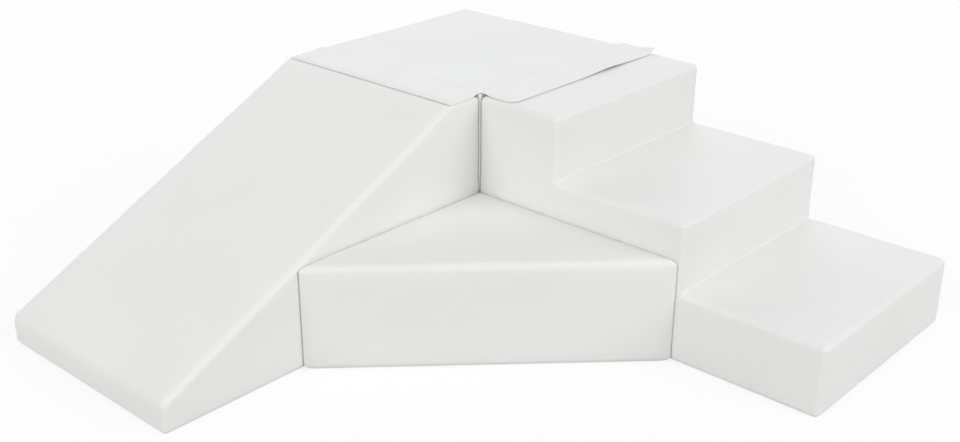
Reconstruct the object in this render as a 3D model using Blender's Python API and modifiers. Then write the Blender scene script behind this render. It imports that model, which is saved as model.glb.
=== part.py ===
"""Soft play corner climber: a foam platform, a wedge slide, a three-step stair and a corner step.

Metres, +Z up, floor at z = 0. The set is laid out from its inner corner, where the slide and the
stair meet the platform: the platform fills +X +Y of it, the slide runs down to -X, the stair down
to -Y, and the triangular corner step fills the angle between them. The origin is the middle of the
whole set's floor plan.

Each block is a foam core in a sewn cover that turns under at the foot, closed by a base panel, with
a zip in a face that looks away from the inner corner. Two flaps sewn to the platform's top lie over
the slide's landing and the stair's top step and hold them with hook and loop strips.
"""
import math
from collections import namedtuple

import bmesh
import bpy
from mathutils import Vector

# Blocks
BLOCK_WIDTH = 0.600
PLATFORM_HEIGHT = 0.510
SLIDE_LENGTH = 0.970
SLIDE_NOSE = 0.075
SLIDE_LANDING = 0.105
STAIR_LENGTH = 0.970
LOWER_STEP_HEIGHT = 0.175
MIDDLE_STEP_HEIGHT = 0.345
TOP_TREAD = 0.240
MIDDLE_TREAD = 0.365
CORNER_LEG = 0.600
CORNER_HEIGHT = 0.260

# Padding: past its rounded edges a face swells by CROWN over a band, in rings at these shares of it
EDGE_ROUND = 0.013
EDGE_SEGMENTS = 4
CROWN = 0.003
CROWN_BAND = 0.024
RING_SHARES = (0.1, 0.5, 1.0)

# Cover, base and the gaps between pieces that touch
COVER = 0.0012
BASE_PANEL = 0.0012
RIM = 0.030
CLEAR = 0.0003
COVER_SLACK = 0.0007
BLOCK_GAP = 0.0006

# Flaps, the bindings that sew them down, and their strips
FLAP = 0.0025
FLAP_REACH = 0.100
FLAP_FOLD_INSET = 0.004
BINDING_WIDTH = 0.012
SLIDE_FLAP_NEAR = 0.005
SLIDE_FLAP_FAR = 0.012
STAIR_FLAP_NEAR = 0.010
STAIR_FLAP_FAR = 0.002
FLAP_CORNER = 0.006
TIGHT_EDGE_SHARE = 0.35
HOOK = 0.0015
LOOP = 0.0015
STRIP_WIDTH = 0.050
STRIP_CORNER = 0.004
FLAP_STRIP_LENGTH = 0.500
FLAP_STRIP_SETBACK = 0.020
SIDE_STRIP_LENGTH = 0.320
SIDE_STRIP_START = 0.110
SIDE_STRIP_LEVEL = 0.150
CORNER_STEPS = 3

# Zips
ZIP_LEVEL = 0.055
ZIP_HEIGHT = 0.009
TEETH_WIDTH = 0.004
TEETH_PROUD = 0.0010
PLATFORM_ZIP_LENGTH = 0.500
SLIDE_ZIP_LENGTH = 0.600
STAIR_ZIP_LENGTH = 0.600
CORNER_ZIP_LENGTH = 0.380
PLATFORM_ZIP_START = 0.050
SLIDE_ZIP_START = 0.100
STAIR_ZIP_START = 0.100
CORNER_ZIP_START = 0.090
SLIDER_LENGTH = 0.012
SLIDER_WIDTH = 0.0085
SLIDER_PLATE = 0.0010
CUT_OVERRUN = 0.002

# What the sizes above settle
STRIP_STACK = HOOK + LOOP + 3 * CLEAR
LANDING_HEIGHT = PLATFORM_HEIGHT + CLEAR - STRIP_STACK
CORNER_GAP = STRIP_STACK
SKIN = COVER + COVER_SLACK
BASE_SKIN = max(COVER, BASE_PANEL) + CLEAR
SLIDE_FLAP_LIFT = (FLAP + CLEAR) / 2
STAIR_FLAP_LIFT = SLIDE_FLAP_LIFT + (FLAP + HOOK) / 2 + CLEAR
SLIDER_PROUD = TEETH_PROUD + CLEAR + SLIDER_PLATE

X, Y, Z = Vector((1, 0, 0)), Vector((0, 1, 0)), Vector((0, 0, 1))
BASE = None

# A block: an outline in the plane of the first two axes, drawn out along the third from 0 to
# length. crowns has one value for each edge of the outline and ends one for each end; BASE marks
# the face that the block stands on. tight picks out edges that a seam pulls tighter.
Block = namedtuple("Block", "outline crowns ends length axes tight", defaults=(None,))


def offset_outline(points, distances):
    """A counter-clockwise outline with each edge moved inwards by its own distance."""
    lines = []
    for index, start in enumerate(points):
        along = Vector(points[(index + 1) % len(points)]) - Vector(start)
        along.normalize()
        inward = Vector((-along.y, along.x))
        lines.append((Vector(start) + inward * distances[index], along))
    moved = []
    for index, (point, along) in enumerate(lines):
        last_point, last_along = lines[index - 1]
        reach = (point - last_point).cross(along) / last_along.cross(along)
        moved.append(last_point + last_along * reach)
    return moved


def rounded_rectangle(low, high, radius):
    """The outline of a rectangle from low to high with its corners rounded."""
    centres = (
        (high[0] - radius, high[1] - radius),
        (low[0] + radius, high[1] - radius),
        (low[0] + radius, low[1] + radius),
        (high[0] - radius, low[1] + radius),
    )
    points = []
    for quarter, (across, up) in enumerate(centres):
        for step in range(CORNER_STEPS + 1):
            angle = math.radians(90) * (quarter + step / CORNER_STEPS)
            points.append((across + radius * math.cos(angle), up + radius * math.sin(angle)))
    return points


def drawn_out(outline, low, high, axes):
    """A closed prism: the outline, in the plane of the first two axes, from low to high."""
    across, up, along = axes
    bm = bmesh.new()
    face = bm.faces.new([bm.verts.new(across * p[0] + up * p[1] + along * low) for p in outline])
    region = bmesh.ops.extrude_face_region(bm, geom=[face])["geom"]
    moved = [item for item in region if isinstance(item, bmesh.types.BMVert)]
    bmesh.ops.translate(bm, verts=moved, vec=along * (high - low))
    bmesh.ops.recalc_face_normals(bm, faces=bm.faces)
    return bm


def inset_of(crown, skin, base_skin):
    """How far a face lies inside the block's full size, before it is crowned."""
    return base_skin if crown is BASE else crown + skin


def swell(bm, face, crown):
    """Crowns a face: each ring towards its middle stands further out, along a parabola."""
    full_reach = EDGE_ROUND + CROWN_BAND
    reach = rise = 0
    for share in RING_SHARES:
        last_reach, last_rise = reach, rise
        reach = EDGE_ROUND + CROWN_BAND * share
        rise = crown * (1 - (1 - reach / full_reach) ** 2)
        bmesh.ops.inset_individual(
            bm,
            faces=[face],
            thickness=reach - last_reach,
            depth=rise - last_rise,
            use_even_offset=True,
        )


def crown_of(face, block, middles):
    """The crown that the block states for one face of its prism."""
    across, up, along = block.axes
    facing = face.normal.dot(along)
    if abs(facing) > math.cos(math.radians(45)):
        return block.ends[0] if facing < 0 else block.ends[1]
    centre = face.calc_center_median()
    flat = Vector((centre.dot(across), centre.dot(up)))
    nearest = min(range(len(middles)), key=lambda index: (middles[index] - flat).length)
    return block.crowns[nearest]


def block_form(block, skin=0.0, base_skin=0.0):
    """The block's crowned form, skin inside its full size. Returns it and the face it stands on."""
    insets = [inset_of(crown, skin, base_skin) for crown in block.crowns]
    outline = offset_outline(block.outline, insets)
    low = inset_of(block.ends[0], skin, base_skin)
    high = block.length - inset_of(block.ends[1], skin, base_skin)
    bm = drawn_out(outline, low, high, block.axes)
    middles = [(outline[index - 1] + outline[index]) / 2 for index in range(len(outline))]
    middles = middles[1:] + middles[:1]
    weight = bm.edges.layers.float.new("bevel_weight_edge")
    stated = [(face, crown_of(face, block, middles)) for face in bm.faces]
    rounded = set(bm.edges)
    base_face = None
    for face, crown in stated:
        if crown is BASE:
            base_face = face
        elif crown > 0:
            swell(bm, face, crown)
    for edge in bm.edges:
        edge[weight] = 1.0 if edge in rounded else 0.0
        if edge in rounded and block.tight and block.tight(edge):
            edge[weight] = TIGHT_EDGE_SHARE
    return bm, base_face


def material(name, colour, roughness):
    """A plain surface of one colour."""
    made = bpy.data.materials.new(name)
    made.use_nodes = True
    shader = made.node_tree.nodes["Principled BSDF"]
    shader.inputs["Base Color"].default_value = (*colour, 1.0)
    shader.inputs["Roughness"].default_value = roughness
    shader.inputs["Metallic"].default_value = 0.0
    made.diffuse_color = (*colour, 1.0)
    return made


def place(name, bm, parent, finish, collection, location=(0, 0, 0)):
    """Makes a bmesh an object under its parent, with its own material."""
    mesh = bpy.data.meshes.new(name)
    bm.to_mesh(mesh)
    bm.free()
    made = bpy.data.objects.new(name, mesh)
    made.parent = parent
    made.location = location
    collection.objects.link(made)
    if finish:
        mesh.materials.append(material(name, *finish))
    return made


def anchor(name, parent, location, collection):
    """An empty that carries a body of the set."""
    made = bpy.data.objects.new(name, None)
    made.empty_display_size = BLOCK_GAP
    made.parent = parent
    made.location = location
    collection.objects.link(made)
    return made


def soften(thing):
    """Rounds the edges between a block's faces."""
    bevel = thing.modifiers.new("soft edges", "BEVEL")
    bevel.width = EDGE_ROUND
    bevel.segments = EDGE_SEGMENTS
    bevel.limit_method = "WEIGHT"


def smooth(thing):
    """Shades round stretches smooth and keeps creases."""
    thing.data.shade_smooth()
    thing.data.set_sharp_from_angle(angle=math.radians(40))


def foam(name, block, parent, collection):
    """A foam core that fills its cover."""
    bm, _ = block_form(block, SKIN, BASE_SKIN)
    core = place(name, bm, parent, FOAM, collection)
    soften(core)
    smooth(core)
    return core


def cover(name, block, parent, collection):
    """A sewn cover: the block's outer skin, turned under by a rim and open at the base."""
    bm, base_face = block_form(block)
    bmesh.ops.inset_individual(bm, faces=[base_face], thickness=RIM, use_even_offset=True)
    bmesh.ops.delete(bm, geom=[base_face], context="FACES")
    skin = place(name, bm, parent, LEATHERETTE, collection)
    soften(skin)
    shell = skin.modifiers.new("cover thickness", "SOLIDIFY")
    shell.thickness = COVER
    shell.offset = -1
    shell.use_even_offset = True
    smooth(skin)
    return skin


def base_panel(name, footprint, crowns, parent, collection):
    """The panel that closes a cover underneath, just inside its rim."""
    outline = offset_outline(footprint, [crown + RIM + CLEAR for crown in crowns])
    bm = drawn_out(outline, 0, BASE_PANEL, (X, Y, Z))
    return place(name, bm, parent, BASE_CLOTH, collection)


def plate(name, low, high, radius, bottom, thickness, axes, parent, finish, collection):
    """A flat piece with rounded corners, such as a flap or a sewn strip."""
    bm = drawn_out(rounded_rectangle(low, high, radius), bottom, bottom + thickness, axes)
    return place(name, bm, parent, finish, collection)


def zip_fastener(owner, parent, skin, corner, along, outward, length, collections):
    """A zip let into a cover's face, from a corner point of its line, with its slider."""
    parts, cutters = collections
    axes = (outward, Z, along)
    half = ZIP_HEIGHT / 2
    slot = half + CLEAR
    hole = [
        (-COVER - CUT_OVERRUN, -slot),
        (CUT_OVERRUN, -slot),
        (CUT_OVERRUN, slot),
        (-COVER - CUT_OVERRUN, slot),
    ]
    cutter_form = drawn_out(hole, -CLEAR, length + CLEAR, axes)
    cutter = place(f"{owner}_zip_slot", cutter_form, parent, None, cutters, corner)
    cutter.hide_render = True
    cutter.display_type = "WIRE"
    cut = skin.modifiers.new("zip slot", "BOOLEAN")
    cut.operation = "DIFFERENCE"
    cut.object = cutter

    teeth = TEETH_WIDTH / 2
    chain = [
        (-COVER, -half),
        (0, -half),
        (0, -teeth),
        (TEETH_PROUD, -teeth),
        (TEETH_PROUD, teeth),
        (0, teeth),
        (0, half),
        (-COVER, half),
    ]
    chain_form = drawn_out(chain, 0, length, axes)
    place(f"{owner}_zip_chain", chain_form, parent, ZIP_TAPE, parts, corner)

    groove = teeth + CLEAR
    wall = SLIDER_WIDTH / 2
    saddle = [
        (CLEAR, -wall),
        (SLIDER_PROUD, -wall),
        (SLIDER_PROUD, wall),
        (CLEAR, wall),
        (CLEAR, groove),
        (TEETH_PROUD + CLEAR, groove),
        (TEETH_PROUD + CLEAR, -groove),
        (CLEAR, -groove),
    ]
    slider_form = drawn_out(saddle, 0, SLIDER_LENGTH, axes)
    place(f"{owner}_zip_slider", slider_form, parent, ZIP_SLIDER, parts, corner)


def side_strip(name, along, outward, stand_off, thickness, parent, finish, collection):
    """A strip sewn on the side of a block, behind the corner step."""
    low = (SIDE_STRIP_START, SIDE_STRIP_LEVEL - STRIP_WIDTH / 2)
    high = (SIDE_STRIP_START + SIDE_STRIP_LENGTH, SIDE_STRIP_LEVEL + STRIP_WIDTH / 2)
    axes = (along, Z, outward)
    plate(name, low, high, STRIP_CORNER, stand_off, thickness, axes, parent, finish, collection)


def square(width, depth):
    """A rectangle's outline from the origin."""
    return [(0, 0), (width, 0), (width, depth), (0, depth)]


def under_a_flap(edge):
    """Whether an edge of the platform is one of its two top edges that carry a flap."""
    ends = [vert.co for vert in edge.verts]
    on_top = all(end.z > PLATFORM_HEIGHT / 2 for end in ends)
    at_slide = all(end.x < BLOCK_WIDTH / 2 for end in ends)
    at_stair = all(end.y < BLOCK_WIDTH / 2 for end in ends)
    return on_top and (at_slide or at_stair)


def make_platform(root, collections):
    """The block in the middle of the set, which carries both flaps."""
    parts = collections[0]
    block = Block(
        outline=square(BLOCK_WIDTH, PLATFORM_HEIGHT),
        crowns=(BASE, CROWN, 0, CROWN),
        ends=(CROWN, CROWN),
        length=BLOCK_WIDTH,
        axes=(X, Z, Y),
        tight=under_a_flap,
    )
    foam("platform_foam_core", block, root, parts)
    skin = cover("platform_cover", block, root, parts)
    footprint = square(BLOCK_WIDTH, BLOCK_WIDTH)
    base_panel("platform_base_panel", footprint, (CROWN,) * 4, root, parts)
    corner = (PLATFORM_ZIP_START, BLOCK_WIDTH, ZIP_LEVEL)
    zip_fastener("platform", root, skin, corner, X, Y, PLATFORM_ZIP_LENGTH, collections)


def make_slide_flap(root, parts):
    """The flap over the slide's landing, its binding on the platform and the hook strip under it."""
    axes = (X, Y, Z)
    bottom = PLATFORM_HEIGHT + CLEAR
    low = (FLAP_FOLD_INSET, FLAP_FOLD_INSET + BINDING_WIDTH + CLEAR)
    high = (FLAP_FOLD_INSET + BINDING_WIDTH, BLOCK_WIDTH - SLIDE_FLAP_FAR)
    name = "slide_flap_seam_binding"
    plate(name, low, high, CLEAR, bottom, FLAP, axes, root, LEATHERETTE, parts)

    level = bottom + FLAP / 2 + SLIDE_FLAP_LIFT
    fold = anchor("slide_flap_fold", root, (FLAP_FOLD_INSET, 0, level), parts)
    outer = -FLAP_FOLD_INSET - FLAP_REACH
    low = (outer, SLIDE_FLAP_NEAR)
    high = (-CLEAR, BLOCK_WIDTH - SLIDE_FLAP_FAR)
    bottom = -FLAP / 2 - SLIDE_FLAP_LIFT
    plate("slide_flap", low, high, FLAP_CORNER, bottom, FLAP, axes, fold, LEATHERETTE, parts)
    end = (BLOCK_WIDTH - FLAP_STRIP_LENGTH) / 2
    low = (outer + FLAP_STRIP_SETBACK, end)
    high = (outer + FLAP_STRIP_SETBACK + STRIP_WIDTH, BLOCK_WIDTH - end)
    bottom -= CLEAR + HOOK
    plate("slide_flap_hook_strip", low, high, STRIP_CORNER, bottom, HOOK, axes, fold, HOOKS, parts)


def make_stair_flap(root, parts):
    """The flap over the stair's top step. Its fold stands higher, so it folds over the other flap."""
    axes = (X, Y, Z)
    bottom = PLATFORM_HEIGHT + CLEAR
    low = (FLAP_FOLD_INSET, FLAP_FOLD_INSET)
    high = (BLOCK_WIDTH - STAIR_FLAP_FAR, FLAP_FOLD_INSET + BINDING_WIDTH)
    name = "stair_flap_seam_binding"
    plate(name, low, high, CLEAR, bottom, FLAP, axes, root, LEATHERETTE, parts)

    level = bottom + FLAP / 2 + STAIR_FLAP_LIFT
    fold = anchor("stair_flap_fold", root, (0, FLAP_FOLD_INSET, level), parts)
    outer = -FLAP_FOLD_INSET - FLAP_REACH
    low = (STAIR_FLAP_NEAR, outer)
    high = (BLOCK_WIDTH - STAIR_FLAP_FAR, -CLEAR)
    bottom = -FLAP / 2 - STAIR_FLAP_LIFT
    plate("stair_flap", low, high, FLAP_CORNER, bottom, FLAP, axes, fold, LEATHERETTE, parts)
    end = (BLOCK_WIDTH - FLAP_STRIP_LENGTH) / 2
    low = (end, outer + FLAP_STRIP_SETBACK)
    high = (BLOCK_WIDTH - end, outer + FLAP_STRIP_SETBACK + STRIP_WIDTH)
    bottom -= CLEAR + HOOK
    plate("stair_flap_hook_strip", low, high, STRIP_CORNER, bottom, HOOK, axes, fold, HOOKS, parts)


def make_slide(root, collections):
    """The wedge slide, with a flat landing at the top and a blunt nose."""
    parts = collections[0]
    body = anchor("slide_block", root, (-BLOCK_GAP, 0, 0), parts)
    block = Block(
        outline=[
            (-SLIDE_LENGTH, 0),
            (0, 0),
            (0, LANDING_HEIGHT),
            (-SLIDE_LANDING, LANDING_HEIGHT),
            (-SLIDE_LENGTH, SLIDE_NOSE),
        ],
        crowns=(BASE, CROWN, 0, CROWN, 0),
        ends=(CROWN, CROWN),
        length=BLOCK_WIDTH,
        axes=(X, Z, Y),
    )
    foam("slide_foam_core", block, body, parts)
    skin = cover("slide_cover", block, body, parts)
    footprint = [(-SLIDE_LENGTH, 0), (0, 0), (0, BLOCK_WIDTH), (-SLIDE_LENGTH, BLOCK_WIDTH)]
    base_panel("slide_base_panel", footprint, (CROWN, CROWN, CROWN, 0), body, parts)

    outer = -FLAP_REACH + BLOCK_GAP
    end = (BLOCK_WIDTH - FLAP_STRIP_LENGTH) / 2
    low = (outer + FLAP_STRIP_SETBACK, end)
    high = (outer + FLAP_STRIP_SETBACK + STRIP_WIDTH, BLOCK_WIDTH - end)
    bottom = LANDING_HEIGHT + CLEAR
    axes = (X, Y, Z)
    plate("slide_top_loop_strip", low, high, STRIP_CORNER, bottom, LOOP, axes, body, LOOPS, parts)
    side_strip("slide_side_loop_strip", -X, -Y, CLEAR, LOOP, body, LOOPS, parts)
    corner = (-SLIDE_ZIP_START - SLIDE_ZIP_LENGTH, BLOCK_WIDTH, ZIP_LEVEL)
    zip_fastener("slide", body, skin, corner, X, Y, SLIDE_ZIP_LENGTH, collections)


def make_stair(root, collections):
    """The three-step stair: one cover over three slabs of foam."""
    parts = collections[0]
    body = anchor("stair_block", root, (0, -BLOCK_GAP, 0), parts)
    middle_front = -TOP_TREAD - MIDDLE_TREAD
    axes = (Y, Z, X)
    block = Block(
        outline=[
            (-STAIR_LENGTH, 0),
            (0, 0),
            (0, LANDING_HEIGHT),
            (-TOP_TREAD, LANDING_HEIGHT),
            (-TOP_TREAD, MIDDLE_STEP_HEIGHT),
            (middle_front, MIDDLE_STEP_HEIGHT),
            (middle_front, LOWER_STEP_HEIGHT),
            (-STAIR_LENGTH, LOWER_STEP_HEIGHT),
        ],
        crowns=(BASE, CROWN, 0, 0, 0, 0, 0, CROWN),
        ends=(CROWN, CROWN),
        length=BLOCK_WIDTH,
        axes=axes,
    )
    skin = cover("stair_cover", block, body, parts)
    footprint = [(0, -STAIR_LENGTH), (BLOCK_WIDTH, -STAIR_LENGTH), (BLOCK_WIDTH, 0), (0, 0)]
    base_panel("stair_base_panel", footprint, (CROWN,) * 4, body, parts)

    slabs = (
        ("stair_foam_lower", -STAIR_LENGTH, BASE_SKIN, LOWER_STEP_HEIGHT, CROWN),
        ("stair_foam_middle", middle_front, LOWER_STEP_HEIGHT - SKIN + CLEAR, MIDDLE_STEP_HEIGHT, 0),
        ("stair_foam_upper", -TOP_TREAD, MIDDLE_STEP_HEIGHT - SKIN + CLEAR, LANDING_HEIGHT, 0),
    )
    for name, front, bottom, top, front_crown in slabs:
        slab = Block(
            outline=[(front, bottom), (0, bottom), (0, top), (front, top)],
            crowns=(BASE, CROWN, 0, front_crown),
            ends=(CROWN, CROWN),
            length=BLOCK_WIDTH,
            axes=axes,
        )
        bm, _ = block_form(slab, SKIN)
        core = place(name, bm, body, FOAM, parts)
        soften(core)
        smooth(core)

    outer = -FLAP_REACH + BLOCK_GAP
    end = (BLOCK_WIDTH - FLAP_STRIP_LENGTH) / 2
    low = (end, outer + FLAP_STRIP_SETBACK)
    high = (BLOCK_WIDTH - end, outer + FLAP_STRIP_SETBACK + STRIP_WIDTH)
    bottom = LANDING_HEIGHT + CLEAR
    flat = (X, Y, Z)
    plate("stair_top_loop_strip", low, high, STRIP_CORNER, bottom, LOOP, flat, body, LOOPS, parts)
    side_strip("stair_side_loop_strip", -Y, -X, CLEAR, LOOP, body, LOOPS, parts)
    corner = (BLOCK_WIDTH, -STAIR_ZIP_START - STAIR_ZIP_LENGTH, ZIP_LEVEL)
    zip_fastener("stair", body, skin, corner, Y, X, STAIR_ZIP_LENGTH, collections)


def make_corner_step(root, collections):
    """The low triangular step that fills the angle between slide and stair."""
    parts = collections[0]
    body = anchor("corner_step", root, (-CORNER_GAP, -CORNER_GAP, 0), parts)
    triangle = [(0, 0), (-CORNER_LEG, 0), (0, -CORNER_LEG)]
    block = Block(
        outline=triangle,
        crowns=(CROWN, CROWN, CROWN),
        ends=(BASE, CROWN),
        length=CORNER_HEIGHT,
        axes=(X, Y, Z),
    )
    foam("corner_foam_core", block, body, parts)
    skin = cover("corner_cover", block, body, parts)
    base_panel("corner_base_panel", triangle, (CROWN,) * 3, body, parts)
    side_strip("corner_hook_strip_slide_side", -X, Y, CLEAR, HOOK, body, HOOKS, parts)
    side_strip("corner_hook_strip_stair_side", -Y, X, CLEAR, HOOK, body, HOOKS, parts)
    corner = (0, -CORNER_ZIP_START - CORNER_ZIP_LENGTH, ZIP_LEVEL)
    zip_fastener("corner", body, skin, corner, Y, X, CORNER_ZIP_LENGTH, collections)


# Colour and roughness of each kind of piece
LEATHERETTE = ((0.86, 0.86, 0.84), 0.45)
FOAM = ((0.84, 0.80, 0.62), 0.95)
BASE_CLOTH = ((0.60, 0.60, 0.59), 0.90)
HOOKS = ((0.80, 0.80, 0.79), 0.80)
LOOPS = ((0.83, 0.83, 0.82), 0.95)
ZIP_TAPE = ((0.78, 0.78, 0.77), 0.70)
ZIP_SLIDER = ((0.74, 0.74, 0.73), 0.40)


def clear_scene():
    """Removes what a new file holds."""
    for thing in list(bpy.data.objects):
        bpy.data.objects.remove(thing, do_unlink=True)


def new_collection(name):
    made = bpy.data.collections.new(name)
    bpy.context.scene.collection.children.link(made)
    return made


def main():
    clear_scene()
    collections = (new_collection("corner_climber"), new_collection("cutters"))
    far = BLOCK_WIDTH + SLIDER_PROUD
    centre = (
        (BLOCK_GAP + SLIDE_LENGTH - far) / 2,
        (BLOCK_GAP + STAIR_LENGTH - far) / 2,
        0,
    )
    root = anchor("inner_corner", None, centre, collections[0])
    make_platform(root, collections)
    make_slide_flap(root, collections[0])
    make_stair_flap(root, collections[0])
    make_slide(root, collections)
    make_stair(root, collections)
    make_corner_step(root, collections)


main()
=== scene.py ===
"""The looks of the soft play corner climber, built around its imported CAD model.

Four foam blocks in sewn off-white leatherette covers: platform, wedge slide, three-step stair and
corner step. Each cover is a rounded prism, cut into a fine mesh, that is then shaped the way sewn
leatherette lies over firm foam: crowned faces, slack waves, seams drawn in and puckered.
"""
import math
from collections import namedtuple

import bmesh
import bpy
import numpy as np
from mathutils import Matrix, Vector
from mathutils.bvhtree import BVHTree


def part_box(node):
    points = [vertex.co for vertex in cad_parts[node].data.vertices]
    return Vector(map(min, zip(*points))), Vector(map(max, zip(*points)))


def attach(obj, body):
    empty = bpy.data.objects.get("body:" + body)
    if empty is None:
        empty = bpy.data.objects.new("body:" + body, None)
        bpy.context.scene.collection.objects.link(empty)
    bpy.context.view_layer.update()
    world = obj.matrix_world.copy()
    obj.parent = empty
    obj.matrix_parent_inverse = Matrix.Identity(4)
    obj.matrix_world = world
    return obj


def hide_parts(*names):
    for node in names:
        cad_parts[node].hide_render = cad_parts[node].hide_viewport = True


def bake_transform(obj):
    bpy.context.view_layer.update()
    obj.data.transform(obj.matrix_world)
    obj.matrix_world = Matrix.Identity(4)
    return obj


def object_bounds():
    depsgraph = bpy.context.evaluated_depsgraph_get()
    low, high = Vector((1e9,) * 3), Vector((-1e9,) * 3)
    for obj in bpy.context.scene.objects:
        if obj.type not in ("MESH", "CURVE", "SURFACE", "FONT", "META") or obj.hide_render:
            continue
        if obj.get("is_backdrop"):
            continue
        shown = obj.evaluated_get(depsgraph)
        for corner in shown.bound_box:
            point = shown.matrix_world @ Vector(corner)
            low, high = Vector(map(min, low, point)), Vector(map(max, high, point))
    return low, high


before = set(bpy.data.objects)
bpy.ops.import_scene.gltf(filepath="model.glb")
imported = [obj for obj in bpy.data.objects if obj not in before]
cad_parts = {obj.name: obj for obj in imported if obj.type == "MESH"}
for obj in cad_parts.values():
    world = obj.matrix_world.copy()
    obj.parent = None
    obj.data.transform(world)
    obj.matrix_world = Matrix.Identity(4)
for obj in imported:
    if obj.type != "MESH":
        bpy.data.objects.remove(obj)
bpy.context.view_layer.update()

MM = 0.001
TURN = 2 * math.pi
X, Y, Z = Vector((1, 0, 0)), Vector((0, 1, 0)), Vector((0, 0, 1))
TINY = 1e-6
SNAP = 0.15 * MM

# Covers: how edges round, how faces swell between them, how slack the leatherette lies. BASE stands
# in the place of a crown for the face that a block stands on.
BASE = None
EDGE_ROUND = 13 * MM
HOLLOW_ROUND = 3.5 * MM
TIGHT_ROUND = 4.5 * MM
FRONT_ROUND = 2.5 * MM
MEETING_ROUND = 5.5 * MM
INNER_ROUND = 5 * MM
EDGE_SEGMENTS = 8
CROWN = 3 * MM
SIDE_CROWN = 1.5 * MM
SNUG = 1 * MM
CLOSE = 0.3 * MM
SINK = 1.4 * MM
CROWN_REACH = 45 * MM
WAVE = 1.5 * MM
WAVE_LENGTHS = (90 * MM, 320 * MM)
WAVE_COUNT = 14
WAVE_GAIN = 0.8
FOOT = 2 * MM
FOOT_SHARE = 0.4
COVER = 1.2 * MM
RIM = 30 * MM
CELL = 7 * MM

# Seams: a fine groove in an edge that is drawn in, with puckers that fade into the faces
GROOVE = 0.8 * MM
GROOVE_WIDTH = 0.75 * MM
GROOVE_CUTS = (0.5 * MM, 1.1 * MM, 2.0 * MM, 3.0 * MM)
RIDGE = 0.35 * MM
RIDGE_PLACE = 2.0 * MM
RIDGE_WIDTH = 0.8 * MM
SEAM_NEAR = 6.5 * MM
SEAM_FADE = 3 * MM
DRAWN_IN = 0.7 * MM
DRAWN_REACH = 9 * MM
PUCKER = 0.42 * MM
PUCKER_SINK = 1.5
PUCKER_START = (2 * MM, 9 * MM)
PUCKER_REACH = 15 * MM
PUCKER_LENGTHS = (21 * MM, 29 * MM, 43 * MM)
PUCKER_PHASES = 3
SLOWER = (4, 7)

# Stitches: STITCH_RINGS has each ring's place along the stitch, its level and its size
STITCH = 3.4 * MM
STITCH_STEP = 5 * MM
STITCH_RADIUS = 0.34 * MM
STITCH_SETBACK = 4.5 * MM
STITCH_RINGS = ((-0.5, -0.6, 0.35), (-0.28, 0.25, 1.0), (0.28, 0.25, 1.0), (0.5, -0.6, 0.35))
RAY_START = 30 * MM
FACING = 0.2

# Flaps: hems that turn down to what they lie on, a crease along the fold, one corner that curls up
HEM_ROUND = 1.0 * MM
HEM_BAND = 18 * MM
HEM_GAP = 0.8 * MM
HEM_REACH = 6 * MM
HEM_STITCH = 5.5 * MM
HEM_DIP = 0.3 * MM
HEM_DIP_WIDTH = 0.9 * MM
HEM_THIN = 0.45
HEM_EDGE = 3 * MM
END_BAND = 36 * MM
FALL_START = (8 * MM, 34 * MM)
FLAP_CELL = 4 * MM
FOLD_CUTS = (-1.6 * MM, -0.8 * MM, 0, 0.8 * MM, 1.6 * MM)
FOLD_STITCH = 3 * MM
HEM_TURN = 4 * MM
CREASE = 0.6 * MM
CREASE_WIDTH = 2.4 * MM
BUCKLE = 4.5 * MM
BUCKLE_PLACE = 0.64
BUCKLE_WIDTH = 0.12
BUCKLE_START = 0.2
EAR = 14 * MM
EAR_LENGTH = 32 * MM
FLAP_WAVE = 0.5 * MM
FLAP_WAVE_LENGTHS = (60 * MM, 160 * MM)
FLAP_WAVE_START = (4 * MM, 20 * MM)
FLAP_WAVE_BORDER = 10 * MM
FINE_WAVE_COUNT = 10
SHARP_CORNER = 2 * MM
FLAP_CORNER = 8 * MM
CURVED_CORNER = 24 * MM
BINDING_FLAT = 6 * MM
BINDING_END = 0.9 * MM

# Strips: HOOK_RINGS has each ring's lean, level and size
TAPE_ROUND = 4 * MM
TAPE_GROUND = 0.7 * MM
TAPE_SEAT = 0.05 * MM
NAP_CLEARANCE = 0.1 * MM
LOOP_CELL = 2.2 * MM
FUZZ = (0.25, 1.0)
FUZZ_BORDER = (1.5 * MM, 4 * MM)
HOOK_CELL = 6.6 * MM
HOOK_STEP = 2.6 * MM
HOOK_MARGIN = 3.5 * MM
HOOK_SIZE = 0.35 * MM
HOOK_LENGTH = 0.49 * MM
HOOK_TWIST = 0.25
HOOK_TOP = 0.95
HOOK_RINGS = ((0, 0, 1.0), (0, 0.5, 0.8), (0.35, HOOK_TOP, 0.6), (0.9, 0.75, 0.35))

# Foam and base panels: DOT_RINGS has each ring's size and level, from its foot to its crown
CORE_SLACK = 2.6 * MM
SLAB_SLACK = 7 * MM
CORE_CELL = 16 * MM
CORE_SEGMENTS = 4
CORE_SHARE = 0.8
CORE_WAVE = 0.3 * MM
CORE_WAVE_LENGTHS = (40 * MM, 120 * MM)
PANEL_THICKNESS = 0.6 * MM
PANEL_CELL = 20 * MM
DOT_STEP = 13 * MM
DOT_SIZE = 2.6 * MM
DOT_ROOM = 1.2 * DOT_SIZE
DOT_RINGS = ((1.0, 1.0), (0.85, 0.25), (0.45, 0.0))

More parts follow.
